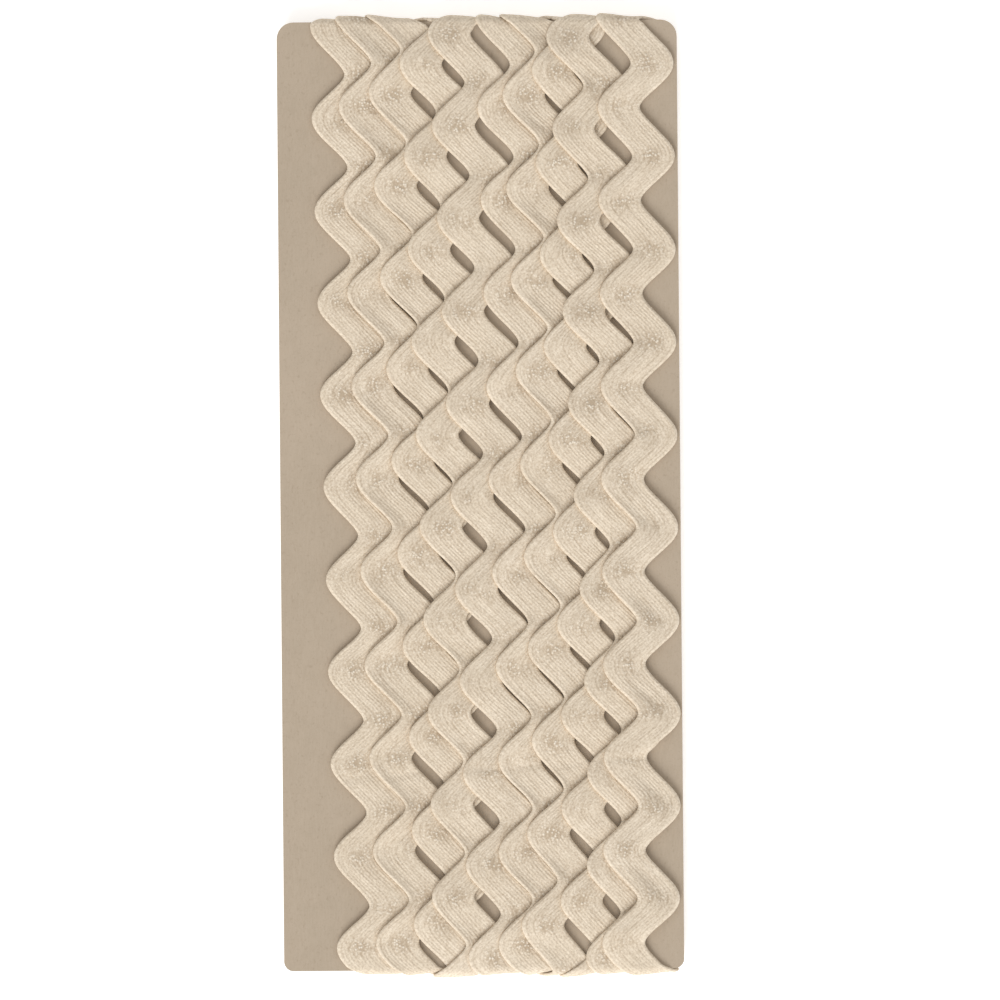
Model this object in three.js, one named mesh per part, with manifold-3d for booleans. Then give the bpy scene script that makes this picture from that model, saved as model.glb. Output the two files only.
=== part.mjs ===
// Ric rac wound lengthwise round a flat pasteboard card, lying on its back.
// Millimetres, +Z up. +Y points to the card's top end and the origin is under the middle of the whole object.
import * as THREE from "three";
import { mergeVertices } from "three/addons/utils/BufferGeometryUtils.js";
import Module from "manifold-3d";

// The card
const CARD_WIDTH = 57.6;
const CARD_LENGTH = 136.6;
const CARD_THICKNESS = 1.0;
const TOP_CORNER_RADIUS = 2.4;
const BOTTOM_CORNER_RADIUS = 1.4;
const CARD_CORNER_STEPS = 5;

// The trim: a flat braid whose centre line is a sine wave with its right points a little late
const TRIM_LENGTH = 2743;
const TRIM_THICKNESS = 1.0;
const TRIM_HALF_WIDTH = 3.1;
const TRIM_OVERALL_WIDTH = 11.1;
const WAVE_LENGTH = 13.3;
const WAVE_HEIGHT = (TRIM_OVERALL_WIDTH - 2 * TRIM_HALF_WIDTH) / 2;
const WAVE_SKEW = 0.025;
const EDGE_FOLLOWS_NORMAL = 0.25;

// How the turns lie: each one over the turn before it, squeezed where it rounds the card's ends
const CLEARANCE = 0.3;
const TURN_SLOPE = 0.12;
const ROOT_DEPTH = 0.4;
const UNDERSIDE_HEIGHT = 1.5;
const END_SQUEEZE = 0.5;
const SQUEEZE_REACH = 5;
const END_STEPS = 4;
const BEND_SHARE = 0.11;
const STATION_SPACING = 0.5;

// One row for each turn on the front, from the card's left side to its right: where the line of its left
// points lies at the card's top, at LOW_PLACE down the front and at its bottom, and how far down the front its
// first and last left points are
const LOW_PLACE = 104;
const TURNS = [
  { top: -24.1, low: -21.9, bottom: -21.2, first: 0.2, last: 132.8 },
  { top: -20.4, low: -16.4, bottom: -15.4, first: 11.8, last: 132.3 },
  { top: -16.2, low: -10.5, bottom: -10.0, first: 9.9, last: 129.3 },
  { top: -11.3, low: -7.7, bottom: -7.5, first: 5.8, last: 125.6 },
  { top: -7.1, low: -2.8, bottom: -2.3, first: 1.5, last: 121.1 },
  { top: -0.3, low: 2.2, bottom: 2.0, first: 12.1, last: 132.6 },
  { top: 3.2, low: 7.1, bottom: 4.9, first: 10.4, last: 129.7 },
  { top: 7.5, low: 11.5, bottom: 10.7, first: 6.8, last: 126.3 },
  { top: 9.9, low: 15.1, bottom: 14.6, first: 1.9, last: 134.3 },
  { top: 17.2, low: 17.5, bottom: 17.0, first: 12.1, last: 132.3 },
];

// The path round the card, measured along the trim
const INNER_RADIUS = CARD_THICKNESS / 2 + CLEARANCE;
const FACE = CARD_LENGTH - CARD_THICKNESS;
const END_ARC = Math.PI * (INNER_RADIUS + TRIM_THICKNESS);
const LOOP = 2 * (FACE + END_ARC);
const MIDDLE_HEIGHT = UNDERSIDE_HEIGHT + INNER_RADIUS;
const TAIL = (TRIM_LENGTH - (TURNS.length - 1) * LOOP - FACE) / 2;

const wasm = await Module();
wasm.setup();

const mix = (from, to, share) => from + (to - from) * share;

// A place on the unrolled trim (across, along, height over the card's face) in space
function wrap(across, along, height) {
  const local = along - Math.floor(along / LOOP) * LOOP;
  const radius = INNER_RADIUS + height;
  if (local <= FACE) {
    return [across, FACE / 2 - local, MIDDLE_HEIGHT + radius];
  }
  if (local < FACE + END_ARC) {
    const angle = ((local - FACE) / END_ARC) * Math.PI;
    return [across, -FACE / 2 - radius * Math.sin(angle), MIDDLE_HEIGHT + radius * Math.cos(angle)];
  }
  if (local <= 2 * FACE + END_ARC) {
    return [across, local - FACE - END_ARC - FACE / 2, MIDDLE_HEIGHT - radius];
  }
  const angle = ((local - 2 * FACE - END_ARC) / END_ARC) * Math.PI;
  return [across, FACE / 2 + radius * Math.sin(angle), MIDDLE_HEIGHT - radius * Math.cos(angle)];
}

// What changes slowly along the trim, as [along, value] pairs in order
function tracks() {
  const lines = [];
  const points = [];
  let count = 0;
  TURNS.forEach((turn, index) => {
    const start = index * LOOP;
    lines.push([start, turn.top], [start + LOW_PLACE, turn.low], [start + FACE, turn.bottom]);
    if (index > 0) {
      count += Math.round((start + turn.first - points.at(-1)[0]) / WAVE_LENGTH);
    }
    points.push([start + turn.first, count]);
    count += Math.round((turn.last - turn.first) / WAVE_LENGTH);
    points.push([start + turn.last, count]);
  });
  return { lines, points };
}

const { lines, points } = tracks();

// Straight lines between the pairs. Past the ends the value holds, or runs on at the given rate
function valueAt(pairs, along, rate = 0) {
  const after = pairs.findIndex(([place]) => place > along);
  if (after === 0) {
    return pairs[0][1] + (along - pairs[0][0]) * rate;
  }
  if (after < 0) {
    return pairs.at(-1)[1] + (along - pairs.at(-1)[0]) * rate;
  }
  const [from, fromValue] = pairs[after - 1];
  const [to, toValue] = pairs[after];
  return mix(fromValue, toValue, (along - from) / (to - from));
}

// The wave at a count of waves from a left point: how far it is to the right of its middle, and its lean
function wave(count) {
  const turn = 2 * Math.PI * count;
  const phase = turn - Math.PI * WAVE_SKEW * (1 - Math.cos(turn));
  const rate = ((2 * Math.PI) / WAVE_LENGTH) * (1 - Math.PI * WAVE_SKEW * Math.sin(turn));
  return { offset: -WAVE_HEIGHT * Math.cos(phase), lean: Math.atan(WAVE_HEIGHT * Math.sin(phase) * rate) };
}

// The share of the squeeze at a place: all of it round the card's ends, none of it SQUEEZE_REACH away
function squeeze(along) {
  const local = along - Math.floor(along / (LOOP / 2)) * (LOOP / 2);
  const away = local > FACE ? 0 : Math.min(local, FACE - local);
  return END_SQUEEZE * Math.max(0, 1 - away / SQUEEZE_REACH);
}

// The four corners of the trim's section at a place along it. It reaches into the room for the card, which is
// cut out once the turns are joined
function section(along) {
  const { offset, lean } = wave(valueAt(points, along, 1 / WAVE_LENGTH));
  const middle = valueAt(lines, along) + TRIM_OVERALL_WIDTH / 2 + offset;
  const reachAcross = TRIM_HALF_WIDTH * (1 - EDGE_FOLLOWS_NORMAL + EDGE_FOLLOWS_NORMAL * Math.cos(lean));
  const reachAlong = -TRIM_HALF_WIDTH * EDGE_FOLLOWS_NORMAL * Math.sin(lean);
  const edge = (side) => {
    const across = middle + side * reachAcross;
    const place = along + side * reachAlong;
    const fromRight = valueAt(lines, place) + TRIM_OVERALL_WIDTH - across;
    const height = (TRIM_THICKNESS + TURN_SLOPE * fromRight) * (1 - squeeze(place));
    return [wrap(across, place, -ROOT_DEPTH), wrap(across, place, height)];
  };
  const [leftRoot, leftTop] = edge(-1);
  const [rightRoot, rightTop] = edge(1);
  return [leftRoot, leftTop, rightTop, rightRoot];
}

// Places along the trim that its shape needs: each point of the wave, one place to either side of it, and
// even steps round the card's ends, where the wave's own places are left out
function stations() {
  const first = -TAIL;
  const last = (TURNS.length - 1) * LOOP + FACE + TAIL;
  const places = [first, last];
  const inFace = (place) => {
    const local = place - Math.floor(place / (LOOP / 2)) * (LOOP / 2);
    return local > STATION_SPACING && local < FACE - STATION_SPACING;
  };
  const along = (count) => {
    const swapped = points.map(([place, value]) => [value, place]);
    return valueAt(swapped, count, WAVE_LENGTH);
  };
  const tailHalves = Math.ceil((2 * TAIL) / WAVE_LENGTH);
  const halves = 2 * points.at(-1)[1];
  for (let half = -tailHalves; half <= halves + tailHalves; half += 1) {
    const late = half % 2 === 0 ? 0 : WAVE_SKEW;
    for (const share of [-BEND_SHARE, 0, BEND_SHARE]) {
      const place = along(half / 2 + late + share);
      const between = place > first + STATION_SPACING && place < last - STATION_SPACING;
      if (between && inFace(place)) {
        places.push(place);
      }
    }
  }
  for (let end = -1; end < 2 * TURNS.length; end += 1) {
    for (let step = 0; step <= END_STEPS; step += 1) {
      places.push((end * LOOP) / 2 + FACE + (step / END_STEPS) * END_ARC);
    }
  }
  return places.filter((place) => place >= first && place <= last).sort((one, other) => one - other);
}

// A closed strip through the sections at the given places
function strip(places) {
  const corners = places.flatMap(section);
  const triangles = [
    [0, 1, 2],
    [0, 2, 3],
  ];
  for (let row = 0; row + 1 < places.length; row += 1) {
    for (let side = 0; side < 4; side += 1) {
      const here = 4 * row + side;
      const next = 4 * row + ((side + 1) % 4);
      triangles.push([here, here + 4, next], [next, here + 4, next + 4]);
    }
  }
  const end = 4 * (places.length - 1);
  triangles.push([end, end + 2, end + 1], [end, end + 3, end + 2]);
  return solidOf(new Float32Array(corners.flat()), new Uint32Array(triangles.flat()));
}

function solidOf(vertProperties, triVerts) {
  return new wasm.Manifold(new wasm.Mesh({ numProp: 3, vertProperties, triVerts }));
}

function solidOfGeometry(geometry) {
  geometry.deleteAttribute("normal");
  geometry.deleteAttribute("uv");
  const merged = mergeVertices(geometry);
  return solidOf(new Float32Array(merged.attributes.position.array), new Uint32Array(merged.index.array));
}

function geometryOf(solid) {
  const { vertProperties, triVerts } = solid.getMesh();
  const geometry = new THREE.BufferGeometry();
  geometry.setAttribute("position", new THREE.BufferAttribute(vertProperties, 3));
  geometry.setIndex(new THREE.BufferAttribute(triVerts, 1));
  geometry.computeVertexNormals();
  return geometry;
}

// The whole winding: one strip for each face of each turn, cut in the middle of the card's ends and joined
// to the next by a shared step, then flattened where it rests
function winding() {
  const places = stations();
  const cuts = [0];
  for (let end = -1; end < 2 * TURNS.length; end += 1) {
    const middle = (end * LOOP) / 2 + FACE + END_ARC / 2;
    const cut = places.findIndex((place) => Math.abs(place - middle) < STATION_SPACING / 2);
    if (cut > 0) {
      cuts.push(cut);
    }
  }
  cuts.push(places.length - 1);
  let whole = null;
  for (let index = 0; index + 1 < cuts.length; index += 1) {
    const stretch = strip(places.slice(cuts[index], Math.min(cuts[index + 1] + 2, places.length)));
    whole = whole ? whole.add(stretch) : stretch;
  }
  const { vertProperties, triVerts } = whole.getMesh();
  return geometryOf(solidOf(vertProperties, triVerts).subtract(room()).subtract(floor()));
}

// The room inside the turns: the card with its clearance, round at both ends
function room() {
  const outline = new THREE.Shape();
  outline.absarc(FACE / 2, MIDDLE_HEIGHT, INNER_RADIUS, -Math.PI / 2, Math.PI / 2);
  outline.absarc(-FACE / 2, MIDDLE_HEIGHT, INNER_RADIUS, Math.PI / 2, 1.5 * Math.PI);
  const width = 2 * CARD_WIDTH;
  const slot = new THREE.ExtrudeGeometry(outline, { depth: width, bevelEnabled: false, curveSegments: END_STEPS });
  slot.rotateX(Math.PI / 2).rotateZ(Math.PI / 2);
  return solidOfGeometry(slot.translate(-width / 2, 0, 0));
}

function floor() {
  const depth = 10;
  const below = new THREE.BoxGeometry(2 * CARD_WIDTH, 2 * CARD_LENGTH, depth);
  return solidOfGeometry(below.translate(0, 0, -depth / 2));
}

function card() {
  const right = CARD_WIDTH / 2;
  const top = CARD_LENGTH / 2;
  const wide = TOP_CORNER_RADIUS;
  const tight = BOTTOM_CORNER_RADIUS;
  const outline = new THREE.Shape();
  outline.absarc(right - wide, top - wide, wide, 0, Math.PI / 2);
  outline.absarc(wide - right, top - wide, wide, Math.PI / 2, Math.PI);
  outline.absarc(tight - right, tight - top, tight, Math.PI, 1.5 * Math.PI);
  outline.absarc(right - tight, tight - top, tight, 1.5 * Math.PI, 2 * Math.PI);
  const board = new THREE.ExtrudeGeometry(outline, {
    depth: CARD_THICKNESS,
    bevelEnabled: false,
    curveSegments: CARD_CORNER_STEPS,
  });
  return board.translate(0, 0, MIDDLE_HEIGHT - CARD_THICKNESS / 2);
}

function piece(name, geometry, colour, roughness) {
  const material = new THREE.MeshStandardMaterial({ color: colour, roughness, metalness: 0 });
  const mesh = new THREE.Mesh(geometry, material);
  mesh.name = name;
  return mesh;
}

const CARD_GREY = 0xada08c;
const COTTON_WHITE = 0xe6dccb;

const object = new THREE.Group();
object.add(piece("card", card(), CARD_GREY, 0.9));
object.add(piece("ric_rac_winding", winding(), COTTON_WHITE, 0.95));

export default object;
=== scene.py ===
"""Ric rac wound lengthwise round a pasteboard card that lies flat: its looks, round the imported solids.

Lengths here are millimetres, turned into metres where a mesh, lamp or camera is made.
"""

import math

import bpy
import numpy as np
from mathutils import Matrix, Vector


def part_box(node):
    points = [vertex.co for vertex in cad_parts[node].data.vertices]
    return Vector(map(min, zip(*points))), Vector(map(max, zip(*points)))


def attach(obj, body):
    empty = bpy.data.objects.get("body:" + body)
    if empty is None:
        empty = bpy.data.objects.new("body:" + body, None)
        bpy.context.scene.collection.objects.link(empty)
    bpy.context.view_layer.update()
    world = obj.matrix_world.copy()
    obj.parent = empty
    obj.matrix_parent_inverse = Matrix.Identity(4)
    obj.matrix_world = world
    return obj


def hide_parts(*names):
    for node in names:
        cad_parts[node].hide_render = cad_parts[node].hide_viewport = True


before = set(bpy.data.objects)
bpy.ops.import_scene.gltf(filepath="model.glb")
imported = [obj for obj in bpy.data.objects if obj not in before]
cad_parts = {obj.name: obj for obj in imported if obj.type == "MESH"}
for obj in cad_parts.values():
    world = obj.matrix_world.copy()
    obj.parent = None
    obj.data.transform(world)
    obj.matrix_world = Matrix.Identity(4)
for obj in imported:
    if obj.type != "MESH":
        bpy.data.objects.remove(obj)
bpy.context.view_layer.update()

MM = 0.001

# The card, as it is in the solids
card_low, card_high = (np.array(corner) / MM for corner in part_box("card"))
CARD_THICKNESS = card_high[2] - card_low[2]
MIDDLE_HEIGHT = (card_high[2] + card_low[2]) / 2
FACE = card_high[1] - card_low[1] - CARD_THICKNESS

# The trim, as in the part's source but a little thinner, because here each layer is a piece of its own
TRIM_LENGTH = 2743
TRIM_THICKNESS = 0.95
TRIM_HALF_WIDTH = 3.1
TRIM_OVERALL_WIDTH = 11.1
WAVE_LENGTH = 13.3
WAVE_HEIGHT = (TRIM_OVERALL_WIDTH - 2 * TRIM_HALF_WIDTH) / 2
WAVE_SKEW = 0.025
WAVE_POINTEDNESS = 0.016
EDGE_FOLLOWS_NORMAL = 0.25
BEND_REACH = 0.8
LEAN_EASE = 0.25

# How winding by hand varies it: how much, over how many millimetres, and the seed of the draw
WANDERS = {
    "pace": (0.012, 21, 1),
    "swell": (0.03, 17, 2),
    "sideways": (0.06, 26, 3),
    "points": (1, 9, 4),
    "width": (0.015, 3.3, 5),
}

# Its path round the card. For each front turn the table has where its left edge is, right of the card's
# middle, at the top edge, at LOW_PLACE down the card and at the bottom edge, and then how far down the
# turn's first and last left points are.
CONTACT = 0.05
INNER_RADIUS = CARD_THICKNESS / 2 + CONTACT
END_RADIUS = 1.8
END_ARC = math.pi * END_RADIUS
LOOP = 2 * (FACE + END_ARC)
END_SQUEEZE = 0.4
SQUEEZE_REACH = 5.0
LOW_PLACE = 104.0
TURNS = np.array(
    [
        (-24.1, -21.9, -21.2, 0.2, 132.8),
        (-20.4, -16.4, -15.4, 11.8, 132.3),
        (-16.2, -10.5, -10.0, 9.9, 129.3),
        (-11.3, -7.7, -7.5, 5.8, 125.6),
        (-7.1, -2.8, -2.3, 1.5, 121.1),
        (-0.3, 2.2, 2.0, 12.1, 132.6),
        (3.2, 7.1, 4.9, 10.4, 129.7),
        (7.5, 11.5, 10.7, 6.8, 126.3),
        (9.9, 15.1, 14.6, 1.9, 134.3),
        (17.2, 17.5, 17.0, 12.1, 132.3),
    ],
    dtype=[("top", float), ("low", float), ("bottom", float), ("first", float), ("last", float)],
)
TAIL = (TRIM_LENGTH - (len(TURNS) - 1) * LOOP - FACE) / 2
TAIL_WAVES = 10

# Its section and braid. CROWN is a share of the thickness, and the rim's place and width of the half width.
EDGE_RADIUS = 0.42
FLAT_SHARE = 1 - EDGE_RADIUS / TRIM_HALF_WIDTH
SIDE_DEGREES = (58, 22, -22, -62)
CROWN = 0.06
RIBS = 10
POINTS_PER_RIB = 4
RIB_DEPTH = 0.062
RIB_MEAN = 0.75
RIB_PATCHINESS = 0.55
RIB_WANDER = 0.3
RIB_UNEVENNESS = 0.025
RIB_UNEVENNESS_LENGTH = 4
RIM_PLACE = 0.82
RIM_WIDTH = 0.06
RIM_HEIGHT = 0.04
STATION_STEP = 0.36
UV_UNIT = 10.0

# Where small loops stand out in a bend, as shares of the half width, and how much they hide the ribs
LOOPS_OFFSET = 0.2
LOOPS_REACH = 0.72
LOOPS_HIDE_RIBS = 0.6

# Soft lumps in the braid: how far apart, and the seed of the draw
LUMPS = {"wander": (3.0, 11), "depth": (2.2, 12), "height": (1.0, 13)}
LATTICE_ROWS = 256
LATTICE_COLUMNS = 60

# A blur's bell is cut off at this many times its reach
BELL_CUT = 2.5

# How it lies on the turns under it
LAY_CELL = 0.45
LAY_COLUMNS = 21
LAY_MARGIN = 5
SETTLE = 0.78
BRIDGE = 1.0
BRIDGE_ACROSS = 0.8
BRIDGE_PAD = 3
SINK_LIMIT = 0.72
PRESS_REACH = 0.8
PRESS_SHARE = 0.55
BASE_EASE = 0.45
COVER_EASE = 0.3
WHOLLY_BEHIND = 0.99

# The photograph: its scale, where the card's middle is in it, and how the card leans there
PHOTO_WIDTH_PX = 1000
MM_PER_PX = 0.1443
CARD_MIDDLE_PX = (480.5, 495.2)
CARD_LEAN_DEGREES = 0.47
CAMERA_HEIGHT = 1.2
CAMERA_SEES_TO = 10.0
SENSOR_WIDTH_MM = 36.0


def linear(red, green, blue):
    """A colour given as it looks on a screen, 0 to 255, as the light share that a shader takes."""
    shares = np.array([red, green, blue]) / 255
    light = np.where(shares <= 0.04045, shares / 12.92, ((shares + 0.055) / 1.055) ** 2.4)
    return (*light, 1.0)


# Painted highlight: the brightest cotton colour lightens the tops of the small loops standing out in the
# bends
COTTON_PAINTED_HIGHLIGHT = linear(253, 247, 235)
COTTON_PALE = linear(244, 231, 212)
COTTON_SHADED = linear(234, 220, 199)
# The darker cotton serves the braid's own random darker streaks and fuzz, and also painted shade in the rib
# valleys, between stitches and between the loops in the bends
COTTON_DARK_AND_SHADE = linear(186, 168, 145)
BOARD_PALE = linear(184, 168, 149)
BOARD_DARK = linear(175, 160, 141)
BOARD_FIBRE = linear(192, 178, 160)
BOARD_FLECK = linear(148, 131, 111)
FLOOR_WHITE = linear(252, 252, 252)
SKY_WHITE = (1.0, 0.985, 0.96, 1.0)

# How fine the finishes' patterns are, per metre, and the cotton's stitches, in millimetres and turns
FUZZ_PER_METRE = 2900.0
LOOPS_PER_METRE = 2300.0
TUFTS_PER_METRE = 320.0
GRIT_PER_METRE = 3600.0
BOARD_FIBRES_PER_METRE = (5200.0, 900.0, 5200.0)
BOARD_FLECKS_PER_METRE = (2600.0, 1700.0, 2600.0)
FLOOR_GRAIN_PER_METRE = 900.0
FIBRES_PER_UV = (24.0, 9.0, 1.0)
STITCH_PITCH = 0.52
STITCH_SLANT = 1.1
FINE_TO_PATCH = 14.0

# How much each pattern raises the cotton and the card, and the whole heights of those reliefs in metres
STITCH_RELIEF = 0.35
FIBRE_RELIEF = 0.4
FUZZ_RELIEF = 0.7
LOOP_RELIEF = 1.6
COTTON_RELIEF = 0.00008
BOARD_FIBRE_RELIEF = 0.6
GRIT_RELIEF = 0.5
BOARD_RELIEF = 0.00005
FLOOR_RELIEF = 0.0001

# Light, in watts and metres
SKY_STRENGTH = 0.68
WINDOW_DISTANCE = 4.0
WINDOW_SIZE = 2.4
WINDOW_POWER = 112.0
WINDOW_HEIGHT_DEGREES = 35
WINDOW_LEFT_DEGREES = 16
FLOOR_GLOW = 0.4
FLOOR_REACH = 1.5


def slow_noise(places, wavelength, seed):
    """Random values a wavelength apart, joined by eased steps: a slow wander between -1 and 1."""
    first = math.floor(places.min() / wavelength) - 1
    count = math.ceil(places.max() / wavelength) - first + 2
    knots = np.random.default_rng(seed).uniform(-1, 1, count)
    spot = places / wavelength - first
    index = np.floor(spot).astype(int)
    share = spot - index
    ease = share * share * (3 - 2 * share)
    return knots[index] * (1 - ease) + knots[index + 1] * ease


def wander(places, name):
    """One of the slow wanders in the WANDERS table, at the given places."""
    amount, wavelength, seed = WANDERS[name]
    return amount * slow_noise(places, wavelength, seed)


def lumps(along, across, pitch, seed):
    """Random values on a square lattice a pitch apart, joined by eased steps both ways: soft lumps
    between -1 and 1."""
    knots = np.random.default_rng(seed).uniform(-1, 1, (LATTICE_ROWS + 1, LATTICE_COLUMNS + 1))
    rows, columns = along / pitch, across / pitch + LATTICE_COLUMNS / 2
    row, column = np.floor(rows).astype(int), np.floor(columns).astype(int)
    by_row, by_column = rows - row, columns - column
    by_row = by_row * by_row * (3 - 2 * by_row)
    by_column = by_column * by_column * (3 - 2 * by_column)
    row, column = row % LATTICE_ROWS, column % LATTICE_COLUMNS
    near = knots[row, column] * (1 - by_column) + knots[row, column + 1] * by_column
    far = knots[row + 1, column] * (1 - by_column) + knots[row + 1, column + 1] * by_column
    return near * (1 - by_row) + far * by_row


def blurred(values, reach, step, axis):
    """A bell-weighted mean along one axis, with the end values held past the ends."""
    taps = math.ceil(BELL_CUT * reach / step)
    places = np.arange(-taps, taps + 1) * step
    weights = np.exp(-0.5 * (places / reach) ** 2)
    weights /= weights.sum()
    pad = [(0, 0)] * values.ndim
    pad[axis] = (taps, taps)
    padded = np.pad(values, pad, mode="edge")
    length = values.shape[axis]
    shifted = (np.take(padded, np.arange(tap, tap + length), axis) for tap in range(2 * taps + 1))
    return sum(weight * layer for weight, layer in zip(weights, shifted))


def wave(count, pointed):
    """The centre line's place to the right of its middle: a sine wave whose right points come a little
    late, with a share of its third overtone that makes its points sharper and its flanks straighter.

    Count is in whole waves from a left point. The second result is 1 at left points and -1 at right
    points, falling to 0 on the flanks."""
    turn = 2 * math.pi * count
    phase = turn - math.pi * WAVE_SKEW * (1 - np.cos(turn))
    bend = np.cos(phase) * np.exp(-((np.sin(phase) / BEND_REACH) ** 2))
    return -WAVE_HEIGHT * (np.cos(phase) + pointed * np.cos(3 * phase)) / (1 + pointed), bend


def trim_path():
    """The trim's centre line on the unrolled winding: how far along it each station is, how far across,
    its lean, and how much it is in a bend.

    As many whole waves as fit best lie between a turn's first and last left point, and from there round
    the back to the next turn's first. The line follows the table of turns, and slow wanders move it."""
    along = np.arange(-TAIL, (len(TURNS) - 1) * LOOP + FACE + TAIL, STATION_STEP)
    starts = np.arange(len(TURNS)) * LOOP
    line_places = np.stack([starts, starts + LOW_PLACE, starts + FACE], 1).ravel()
    line_values = np.stack([TURNS["top"], TURNS["low"], TURNS["bottom"]], 1).ravel()
    point_places = np.stack([starts + TURNS["first"], starts + TURNS["last"]], 1).ravel()
    waves = np.round(np.diff(point_places) / WAVE_LENGTH)
    counts = np.concatenate([[0], np.cumsum(waves)])
    tail = TAIL_WAVES * WAVE_LENGTH
    point_places = np.concatenate([[point_places[0] - tail], point_places, [point_places[-1] + tail]])
    counts = np.concatenate([[counts[0] - TAIL_WAVES], counts, [counts[-1] + TAIL_WAVES]])
    count = np.interp(along, point_places, counts) + wander(along, "pace")
    offset, bend = wave(count, WAVE_POINTEDNESS * (1 + wander(along, "points")))
    line = np.interp(along, line_places, line_values)
    swell = 1 + wander(along, "swell")
    across = line + TRIM_OVERALL_WIDTH / 2 + offset * swell + wander(along, "sideways")
    lean = np.arctan(blurred(np.gradient(across, along), LEAN_EASE, STATION_STEP, 0))
    return along, across, lean, bend


def spread(path, shares):
    """Places on the trim at shares of its half width: across and along, one row for each station.

    The edges are the centre line moved partly straight across and partly along its own normal, which
    makes the outer side of a bend round and its inner side tight."""
    along, across, lean, _ = path
    straight = 1 - EDGE_FOLLOWS_NORMAL
    reach = TRIM_HALF_WIDTH * (1 + wander(along, "width"))[:, None] * shares[None, :]
    sideways = across[:, None] + reach * (straight + EDGE_FOLLOWS_NORMAL * np.cos(lean))[:, None]
    onward = along[:, None] - reach * (EDGE_FOLLOWS_NORMAL * np.sin(lean))[:, None]
    return sideways, onward


def picked(values, row, column):
    """Values of a map at places between its cells. Its rows run on from the last to the first."""
    row_low, column_low = np.floor(row).astype(int), np.floor(column).astype(int)
    by_row, by_column = row - row_low, column - column_low
    near, far = row_low % len(values), (row_low + 1) % len(values)
    column_high = column_low + 1
    first = values[near, column_low] * (1 - by_column) + values[near, column_high] * by_column
    second = values[far, column_low] * (1 - by_column) + values[far, column_high] * by_column
    return first * (1 - by_row) + second * by_row


def laid_heights(path):
    """The height of the trim's underside over the card at LAY_COLUMNS places across it, and the share of
    it there that later turns cover.

    The trim is laid down half a turn at a time on a height map of the unrolled winding. It takes the
    height of what is under it, blurred because it bridges small steps, and less a share because soft
    layers sink into each other. Then its own top goes into the map, and its number into a map of what
    lies on top."""
    shares = np.linspace(-1, 1, LAY_COLUMNS)
    sideways, onward = spread(path, shares)
    rows = math.ceil(LOOP / LAY_CELL)
    map_left = card_low[0] - LAY_MARGIN
    columns = math.ceil((card_high[0] - map_left + LAY_MARGIN) / LAY_CELL)
    heights = np.zeros((rows, columns))
    on_top = np.full((rows, columns), -1)
    row_spot = (onward % LOOP) / LOOP * rows
    column_spot = (sideways - map_left) / LAY_CELL
    column_step = 2 * TRIM_HALF_WIDTH / (LAY_COLUMNS - 1)
    stations = len(path[0])
    chunk = int(LOOP / 2 / STATION_STEP)
    starts = range(0, stations, chunk)
    pad = math.ceil(BRIDGE_PAD * BRIDGE / STATION_STEP)
    under = np.zeros(sideways.shape)
    base = np.zeros(sideways.shape)
    covered = np.zeros(sideways.shape)
    seen = 0
    for number, start in enumerate(starts):
        end = min(start + chunk, stations)
        ahead = min(end + pad, stations)
        under[seen:ahead] = picked(heights, row_spot[seen:ahead], column_spot[seen:ahead])
        seen = ahead
        low = max(0, start - pad)
        soft = blurred(under[low:ahead], BRIDGE, STATION_STEP, 0)
        soft = blurred(soft, BRIDGE_ACROSS * BRIDGE, column_step, 1)[start - low : end - low]
        rest = np.maximum(SETTLE * soft, under[start:end] - SINK_LIMIT * TRIM_THICKNESS)
        base[start:end] = rest
        place_rows = np.round(row_spot[start:end]).astype(int) % rows
        places = (place_rows, np.round(column_spot[start:end]).astype(int))
        np.maximum.at(heights, places, rest + TRIM_THICKNESS)
        on_top[places] = number
    for number, start in enumerate(starts):
        later = blurred((on_top > number).astype(float), PRESS_REACH, LAY_CELL, 0)
        later = blurred(later, PRESS_REACH, LAY_CELL, 1)
        part = slice(start, start + chunk)
        covered[part] = picked(later, row_spot[part], column_spot[part])
    return blurred(base, BASE_EASE, STATION_STEP, 0), blurred(covered, COVER_EASE, STATION_STEP, 0)


def ring():
    """The section's points in order round it: share of the half width, lift as a share of the thickness,
    and the distance round the section from its middle.

    Its top is flat, with POINTS_PER_RIB points to each rib, its sides are half rounds and its underside
    is plain."""
    top = np.linspace(-FLAT_SHARE, FLAT_SHARE, RIBS * POINTS_PER_RIB + 1)
    turn = np.radians(SIDE_DEGREES)
    right = FLAT_SHARE + np.cos(turn) * (1 - FLAT_SHARE)
    side_lift = 0.5 + 0.5 * np.sin(turn)
    shares = np.concatenate([top, right, [0], -right[::-1]])
    lifts = np.concatenate([np.ones(top.size), side_lift, [0], side_lift[::-1]])
    steps = np.hypot(np.diff(shares) * TRIM_HALF_WIDTH, np.diff(lifts) * TRIM_THICKNESS)
    round_it = np.concatenate([[0], np.cumsum(steps)]) - FLAT_SHARE * TRIM_HALF_WIDTH
    return shares, lifts, round_it


def squeeze(place):
    """The share of its height that the trim keeps: less round the card's ends, where it is pulled tight,
    easing over SQUEEZE_REACH."""
    local = place % (LOOP / 2)
    away = np.where(local > FACE, 0, np.minimum(local, FACE - local))
    return 1 - END_SQUEEZE * np.clip(1 - away / SQUEEZE_REACH, 0, 1)


def behind_share(place):
    """1 behind the card and 0 on its front, eased from one to the other round its ends."""
    from_back = np.abs((place - FACE - END_ARC - FACE / 2 + LOOP / 2) % LOOP - LOOP / 2)
    share = np.clip((FACE / 2 + END_ARC - from_back) / END_ARC, 0, 1)
    return share * share * (3 - 2 * share)


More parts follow.
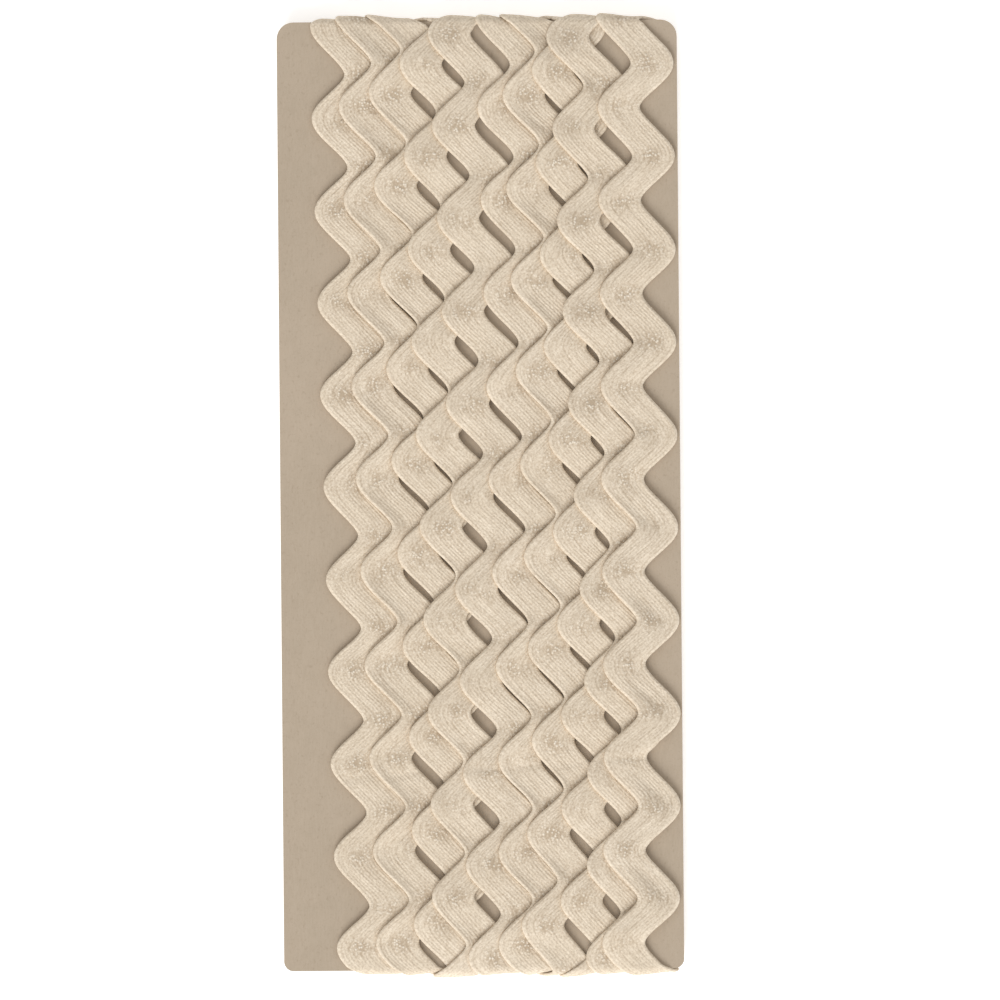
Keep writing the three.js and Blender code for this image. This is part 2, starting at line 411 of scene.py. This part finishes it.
def wrapped(across, place, height):
    """Unrolled places on the real card: straight down the front, half round the bottom end, up the back
    and half round the top end, each at the inner radius plus its height."""
    local = place % LOOP
    radius = INNER_RADIUS + height
    half = FACE + END_ARC
    behind = local >= half
    step = np.where(behind, local - half, local)
    facing = np.where(behind, -1.0, 1.0)
    angle = np.clip((step - FACE) / END_ARC, 0, 1) * math.pi
    down = FACE / 2 - np.minimum(step, FACE)
    y = facing * (down - radius * np.sin(angle))
    z = MIDDLE_HEIGHT + facing * radius * np.cos(angle)
    return np.stack([across, y, z], -1)


def make_mesh(name, points, corners, starts, uv, attributes):
    """A smooth mesh from millimetre points, its faces' corners in a row, where each face starts in that
    row, a UV pair for each corner and named point values."""
    mesh = bpy.data.meshes.new(name)
    mesh.vertices.add(len(points))
    mesh.vertices.foreach_set("co", (points * MM).astype(np.float32).ravel())
    mesh.loops.add(len(corners))
    mesh.loops.foreach_set("vertex_index", corners.astype(np.int32))
    mesh.polygons.add(len(starts))
    mesh.polygons.foreach_set("loop_start", starts.astype(np.int32))
    mesh.polygons.foreach_set("use_smooth", np.ones(len(starts), bool))
    mesh.update(calc_edges=True)
    layer = mesh.uv_layers.new(name="trim")
    layer.data.foreach_set("uv", uv.astype(np.float32).ravel())
    for key, values in attributes.items():
        attribute = mesh.attributes.new(key, "FLOAT", "POINT")
        attribute.data.foreach_set("value", values.astype(np.float32).ravel())
    mesh.validate()
    piece = bpy.data.objects.new(name, mesh)
    bpy.context.scene.collection.objects.link(piece)
    return piece


def between_columns(values, shares):
    """Values at LAY_COLUMNS places across the trim, taken at the given shares of its half width."""
    spot = (np.clip(shares, -1, 1) + 1) / 2 * (LAY_COLUMNS - 1)
    left = np.minimum(np.floor(spot).astype(int), LAY_COLUMNS - 2)
    return values[:, left] * (1 - (spot - left)) + values[:, left + 1] * (spot - left)


def turn_pieces(material):
    """The winding's turns, a piece for each: the ring of the braid's section carried along the laid trim.

    A point's height is the laid underside's, plus the section's lift, less where later turns press it,
    plus the ribs as a cosine across the strands, less where loops hide them, a rim and uneven strands.
    Behind the card all of it is pressed to the room that is there."""
    path = trim_path()
    along, _, _, bend = path
    shares, lifts, round_it = ring()
    sideways, onward = spread(path, shares)
    base, covered = (between_columns(values, shares) for values in laid_heights(path))

    on_top = np.arange(len(shares)) <= RIBS * POINTS_PER_RIB
    rim = on_top * np.exp(-(((np.abs(shares) - RIM_PLACE) / RIM_WIDTH) ** 2))
    from_inside = shares[None, :] - LOOPS_OFFSET * bend[:, None]
    rough = np.abs(bend)[:, None] * np.exp(-((from_inside / LOOPS_REACH) ** 2)) * on_top
    cloth_along = along[:, None]
    cloth_across = TRIM_HALF_WIDTH * shares[None, :]
    over_flat = np.clip(shares / FLAT_SHARE, -1, 1)
    inner = np.cos(0.5 * math.pi * over_flat)
    strand_wander = RIB_WANDER * inner * lumps(cloth_along, cloth_across, *LUMPS["wander"])
    strand = (over_flat + 1) / 2 * RIBS + strand_wander
    rib = on_top * np.cos(2 * math.pi * strand)
    patchy = lumps(cloth_along, cloth_across, *LUMPS["depth"])
    uneven_ribs = lumps(cloth_along / RIB_UNEVENNESS_LENGTH, strand, *LUMPS["height"]) * on_top
    crown = (1 - CROWN) + CROWN * (1 - shares**2)
    lift = TRIM_THICKNESS * lifts * crown * (1 - PRESS_SHARE * covered)
    ribbing = 0.5 * RIB_DEPTH * rib * (RIB_MEAN + RIB_PATCHINESS * patchy)
    relief = ribbing * (1 - LOOPS_HIDE_RIBS * rough) + RIM_HEIGHT * rim + RIB_UNEVENNESS * uneven_ribs
    height = (base + lift + relief) * squeeze(onward)
    behind = behind_share(onward)
    room_behind = MIDDLE_HEIGHT - INNER_RADIUS
    press = min(1, room_behind / height[behind > WHOLLY_BEHIND].max())
    height = height * (1 - (1 - press) * behind)
    points = wrapped(sideways, onward, height)

    cuts = np.searchsorted(along, np.arange(1, len(TURNS)) * LOOP - END_ARC / 2)
    cuts = np.concatenate([[0], cuts, [len(along) - 1]])
    pieces = []
    for turn in range(len(TURNS)):
        rows = slice(cuts[turn], cuts[turn + 1] + 1)
        values = {"bend": rough[rows], "strand": strand[rows]}
        piece = turn_piece(f"ric_rac_turn_{turn + 1:02d}", points[rows], along[rows], round_it, values)
        piece.data.materials.append(material)
        pieces.append(piece)
    return pieces


def turn_piece(name, points, along, round_it, values):
    """One stretch of the trim as a closed mesh: bands of quads between its rings, and a face over each
    end. Its UV map has the way round the section in U and the way along the trim in V."""
    count, size, _ = points.shape
    station = np.arange(count - 1)[:, None] * size
    here = np.arange(size)[None, :]
    after = (here + 1) % size
    ahead = station + size
    quads = np.stack([station + here, ahead + here, ahead + after, station + after], -1)
    first_end = np.arange(size)
    last_end = (count - 1) * size + np.arange(size)[::-1]
    corners = np.concatenate([quads.ravel(), first_end, last_end])
    band = (count - 1) * size
    starts = np.concatenate([np.arange(band) * 4, [4 * band, 4 * band + size]])
    edges = np.concatenate([round_it, [round_it[-1] + TRIM_HALF_WIDTH]])
    left, right = edges[:-1][None, :], edges[1:][None, :]
    low, high = along[:-1][:, None], along[1:][:, None]
    sides = [left, low, left, high, right, high, right, low]
    uv = np.stack([np.broadcast_to(value, (count - 1, size)) for value in sides], -1).reshape(-1, 2)
    uv = np.concatenate([uv, np.zeros((2 * size, 2))]) / UV_UNIT
    return make_mesh(name, points.reshape(-1, 3), corners, starts, uv, values)


# Node trees


class Tree:
    """Short ways to add and join nodes in one node tree."""

    def __init__(self, tree):
        self.tree = tree

    def add(self, kind, inputs=None, **settings):
        """A new node with its settings, and its inputs joined or set."""
        node = self.tree.nodes.new(kind)
        for key, value in settings.items():
            setattr(node, key, value)
        for key, value in (inputs or {}).items():
            if isinstance(value, bpy.types.NodeSocket):
                self.tree.links.new(value, node.inputs[key])
            else:
                node.inputs[key].default_value = value
        return node

    def math(self, operation, first, second=0.0, third=0.0):
        inputs = {0: first, 1: second, 2: third}
        return self.add("ShaderNodeMath", inputs, operation=operation).outputs[0]

    def times(self, first, second):
        return self.math("MULTIPLY", first, second)

    def rest(self, value):
        """One less the value."""
        return self.math("SUBTRACT", 1.0, value)

    def total(self, first, *others):
        for other in others:
            first = self.math("ADD", first, other)
        return first

    def ripple(self, function, turns):
        """A sine or cosine of whole turns, moved to between 0 and 1."""
        return self.math("MULTIPLY_ADD", self.math(function, self.times(turns, 2 * math.pi)), 0.5, 0.5)

    def noise(self, vector, scale, detail=2.0, roughness=0.5):
        inputs = {"Vector": vector, "Scale": scale, "Detail": detail, "Roughness": roughness}
        return self.add("ShaderNodeTexNoise", inputs).outputs["Fac"]

    def between(self, value, low, high, to_low=0.0, to_high=1.0):
        """The value's place from low to high, as a place from to_low to to_high, held at both ends."""
        inputs = {"Value": value, "From Min": low, "From Max": high, "To Min": to_low, "To Max": to_high}
        return self.add("ShaderNodeMapRange", inputs, clamp=True).outputs["Result"]

    def stretched(self, vector, scale):
        return self.add("ShaderNodeMapping", {"Vector": vector, "Scale": scale}).outputs["Vector"]

    def blend(self, share, first, second):
        """The first colour, with a share of the second."""
        node = self.add("ShaderNodeMix", data_type="RGBA")
        for socket, value in ((0, share), (6, first), (7, second)):
            if isinstance(value, bpy.types.NodeSocket):
                self.tree.links.new(value, node.inputs[socket])
            else:
                node.inputs[socket].default_value = value
        return node.outputs[2]

    def bump(self, height, strength, distance):
        inputs = {"Height": height, "Strength": strength, "Distance": distance}
        return self.add("ShaderNodeBump", inputs).outputs["Normal"]


def new_material(name):
    """An empty material and its node tree."""
    material = bpy.data.materials.new(name)
    material.use_nodes = True
    material.node_tree.nodes.clear()
    return material, Tree(material.node_tree)


def finish_material(tree, colour, roughness, normal, **settings):
    """The material's shader and output. Settings are constants, set on the shader's own sockets."""
    inputs = {"Base Color": colour, "Roughness": roughness, "Normal": normal}
    shader = tree.add("ShaderNodeBsdfPrincipled", inputs)
    for key, value in settings.items():
        shader.inputs[key.replace("_", " ")].default_value = value
    output = tree.add("ShaderNodeOutputMaterial")
    tree.tree.links.new(shader.outputs["BSDF"], output.inputs["Surface"])


def mottle_group():
    """A group that both finishes use: slow and fine unevenness of tone, as a value round one half."""
    group = bpy.data.node_groups.new("uneven tone", "ShaderNodeTree")
    group.interface.new_socket(name="Vector", in_out="INPUT", socket_type="NodeSocketVector")
    for name in ("Patch size", "Fine share"):
        group.interface.new_socket(name=name, in_out="INPUT", socket_type="NodeSocketFloat")
    group.interface.new_socket(name="Tone", in_out="OUTPUT", socket_type="NodeSocketFloat")
    tree = Tree(group)
    given = tree.add("NodeGroupInput").outputs
    patches = tree.noise(given["Vector"], tree.math("DIVIDE", 1.0, given["Patch size"]), 3.0)
    fine = tree.noise(given["Vector"], tree.math("DIVIDE", FINE_TO_PATCH, given["Patch size"]), 2.0)
    mixed = {0: given["Fine share"], 2: patches, 3: fine}
    tone = tree.add("ShaderNodeMix", mixed, data_type="FLOAT").outputs[0]
    result = tree.add("NodeGroupOutput")
    group.links.new(tone, result.inputs["Tone"])
    return group


def uneven(tree, group, vector, patch_size, fine_share):
    """The group of uneven tone, placed in a material. The patch size is in metres."""
    node = tree.add("ShaderNodeGroup", node_tree=group)
    tree.tree.links.new(vector, node.inputs["Vector"])
    node.inputs["Patch size"].default_value = patch_size
    node.inputs["Fine share"].default_value = fine_share
    return node.outputs["Tone"]


def cotton_braid(group):
    """Warm white braided cotton: slanted stitches along each rib, turned the other way on its neighbour,
    small loops standing out in the bends, and fine fuzz. Its colour also holds painted shade in the rib
    valleys, between the stitches and between the loops in the bends, and a painted highlight on the
    standing loops."""
    material, tree = new_material("cotton_braid")
    place = tree.add("ShaderNodeTexCoord").outputs["Object"]
    uv = tree.add("ShaderNodeUVMap", uv_map="trim").outputs["UV"]
    onward = tree.times(tree.add("ShaderNodeSeparateXYZ", {"Vector": uv}).outputs["Y"], UV_UNIT)
    strand = tree.add("ShaderNodeAttribute", attribute_name="strand").outputs["Fac"]
    bend = tree.add("ShaderNodeAttribute", attribute_name="bend").outputs["Fac"]
    crest = tree.ripple("COSINE", strand)
    number = tree.math("ROUND", strand)
    parity = tree.math("MULTIPLY_ADD", tree.math("MODULO", number, 2.0), 2.0, -1.0)
    slant = tree.times(tree.math("SUBTRACT", strand, number), tree.times(parity, STITCH_SLANT))
    shifted = tree.math("MULTIPLY_ADD", parity, 0.25, slant)
    stitch = tree.ripple("SINE", tree.math("MULTIPLY_ADD", onward, 1 / STITCH_PITCH, shifted))
    along_rib = {"X": strand, "Y": tree.times(onward, 0.25)}
    streak = tree.noise(tree.add("ShaderNodeCombineXYZ", along_rib).outputs[0], 1.0, 3.0, 0.65)
    fibre = tree.noise(tree.stretched(uv, FIBRES_PER_UV), 2.2, 3.0, 0.6)
    fuzz = tree.noise(place, FUZZ_PER_METRE, 3.0, 0.7)
    scattered = {"Vector": place, "Scale": LOOPS_PER_METRE}
    cells = tree.add("ShaderNodeTexVoronoi", scattered).outputs["Distance"]
    loops = tree.between(cells, 0.15, 0.5, 1.0, 0.0)
    tufts = tree.between(tree.noise(place, TUFTS_PER_METRE, 1.0), 0.35, 0.6, 0.25, 1.0)
    looped = tree.times(bend, tufts)
    standing = tree.times(loops, looped)

    neat = tree.rest(tree.times(bend, 0.7))
    height = tree.total(
        tree.times(tree.times(tree.times(stitch, crest), neat), STITCH_RELIEF),
        tree.times(fibre, FIBRE_RELIEF),
        tree.times(fuzz, FUZZ_RELIEF),
        tree.times(standing, LOOP_RELIEF),
    )
    # Painted shade mixed with real tone: the first, second and last terms darken the rib valleys, the gaps
    # between stitches and the spaces between standing loops, where shade falls; the streak and fuzz terms
    # are the cotton's own random darker tone
    dark_tone_and_shade = tree.total(
        tree.times(tree.rest(crest), tree.between(streak, 0.35, 0.7, 0.22, 0.0)),
        tree.times(tree.rest(stitch), 0.1),
        tree.between(streak, 0.32, 0.68, 0.26, 0.0),
        tree.between(fuzz, 0.38, 0.58, 0.4, 0.0),
        tree.times(tree.math("SUBTRACT", looped, standing), 0.6),
    )
    tone = uneven(tree, group, place, 0.02, 0.5)
    colour = tree.blend(tree.between(tone, 0.3, 0.7), COTTON_SHADED, COTTON_PALE)
    colour = tree.blend(dark_tone_and_shade, colour, COTTON_DARK_AND_SHADE)
    # Painted highlight on the tops of the standing loops
    colour = tree.blend(tree.times(standing, 0.52), colour, COTTON_PAINTED_HIGHLIGHT)
    rough = tree.between(fibre, 0.3, 0.7, 0.82, 0.97)
    bump = tree.bump(height, 0.7, COTTON_RELIEF)
    sheen = {"Sheen_Weight": 0.1, "Sheen_Roughness": 0.6}
    finish_material(tree, colour, rough, bump, Specular_IOR_Level=0.25, **sheen)
    return material


def pasteboard(group):
    """Grey pasteboard: uneven tone, fibres along its length, and small darker and paler flecks."""
    material, tree = new_material("pasteboard")
    place = tree.add("ShaderNodeTexCoord").outputs["Object"]
    tone = uneven(tree, group, place, 0.03, 0.35)
    fibre = tree.noise(tree.stretched(place, BOARD_FIBRES_PER_METRE), 1.0, 3.0, 0.6)
    grit = tree.noise(place, GRIT_PER_METRE, 2.0, 0.7)
    flecks = tree.noise(tree.stretched(place, BOARD_FLECKS_PER_METRE), 1.0, 2.0)
    colour = tree.blend(tree.between(tone, 0.32, 0.68), BOARD_DARK, BOARD_PALE)
    colour = tree.blend(tree.between(fibre, 0.35, 0.7, 0.0, 0.3), colour, BOARD_FIBRE)
    colour = tree.blend(tree.between(flecks, 0.6, 0.75, 0.0, 0.3), colour, BOARD_FLECK)
    colour = tree.blend(tree.between(grit, 0.3, 0.45, 0.22, 0.0), colour, BOARD_FLECK)
    height = tree.total(tree.times(fibre, BOARD_FIBRE_RELIEF), tree.times(grit, GRIT_RELIEF))
    rough = tree.between(grit, 0.3, 0.7, 0.78, 0.92)
    finish_material(tree, colour, rough, tree.bump(height, 0.5, BOARD_RELIEF), Specular_IOR_Level=0.3)
    return material


def pale_floor():
    """The white floor that the card lies on, glowing a little so that it stays white in the render."""
    material, tree = new_material("pale_floor")
    place = tree.add("ShaderNodeTexCoord").outputs["Object"]
    bump = tree.bump(tree.noise(place, FLOOR_GRAIN_PER_METRE, 2.0), 0.05, FLOOR_RELIEF)
    glow = {"Emission_Color": FLOOR_WHITE, "Emission_Strength": FLOOR_GLOW}
    finish_material(tree, FLOOR_WHITE, 0.9, bump, **glow)
    mesh = bpy.data.meshes.new("floor")
    corners = [(x * FLOOR_REACH, y * FLOOR_REACH, 0) for x, y in ((-1, -1), (1, -1), (1, 1), (-1, 1))]
    mesh.from_pydata(corners, [], [(0, 1, 2, 3)])
    mesh.materials.append(material)
    floor = bpy.data.objects.new("floor", mesh)
    bpy.context.scene.collection.objects.link(floor)


def soft_lamp(name, place, size, power):
    """A round area lamp that looks at the middle of the card."""
    lamp = bpy.data.lights.new(name, "AREA")
    lamp.shape = "DISK"
    lamp.size = size
    lamp.energy = power
    holder = bpy.data.objects.new(name, lamp)
    holder.location = place
    holder.rotation_euler = (-Vector(place)).to_track_quat("-Z", "Y").to_euler()
    bpy.context.scene.collection.objects.link(holder)


def studio():
    """An even sky, and one large soft lamp as a window, below the card's lower end and a little left."""
    world = bpy.data.worlds.new("studio")
    world.use_nodes = True
    sky = world.node_tree.nodes["Background"].inputs
    sky["Color"].default_value = SKY_WHITE
    sky["Strength"].default_value = SKY_STRENGTH
    bpy.context.scene.world = world
    up, left = math.radians(WINDOW_HEIGHT_DEGREES), math.radians(WINDOW_LEFT_DEGREES)
    towards = (-math.cos(up) * math.sin(left), -math.cos(up) * math.cos(left), math.sin(up))
    soft_lamp("window", [WINDOW_DISTANCE * step for step in towards], WINDOW_SIZE, WINDOW_POWER)
    bpy.context.scene.view_settings.view_transform = "Standard"


def camera():
    """Straight above the card, turned so that the card leans as in the photograph and fills the same
    pixels."""
    lens = bpy.data.cameras.new("camera")
    lens.sensor_width = SENSOR_WIDTH_MM
    lens.lens = lens.sensor_width * CAMERA_HEIGHT / (PHOTO_WIDTH_PX * MM_PER_PX * MM)
    lens.clip_end = CAMERA_SEES_TO
    holder = bpy.data.objects.new("camera", lens)
    aside = (PHOTO_WIDTH_PX / 2 - CARD_MIDDLE_PX[0]) * MM_PER_PX * MM
    down = (PHOTO_WIDTH_PX / 2 - CARD_MIDDLE_PX[1]) * MM_PER_PX * MM
    holder.location = (aside, -down, CAMERA_HEIGHT)
    holder.rotation_euler = (0.0, 0.0, -math.radians(CARD_LEAN_DEGREES))
    bpy.context.scene.collection.objects.link(holder)
    bpy.context.scene.camera = holder


camera()
studio()
pale_floor()
tone_group = mottle_group()
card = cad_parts["card"]
card.data.materials.clear()
card.data.materials.append(pasteboard(tone_group))
for turn in turn_pieces(cotton_braid(tone_group)):
    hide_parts("ric_rac_winding")
    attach(turn, "root")
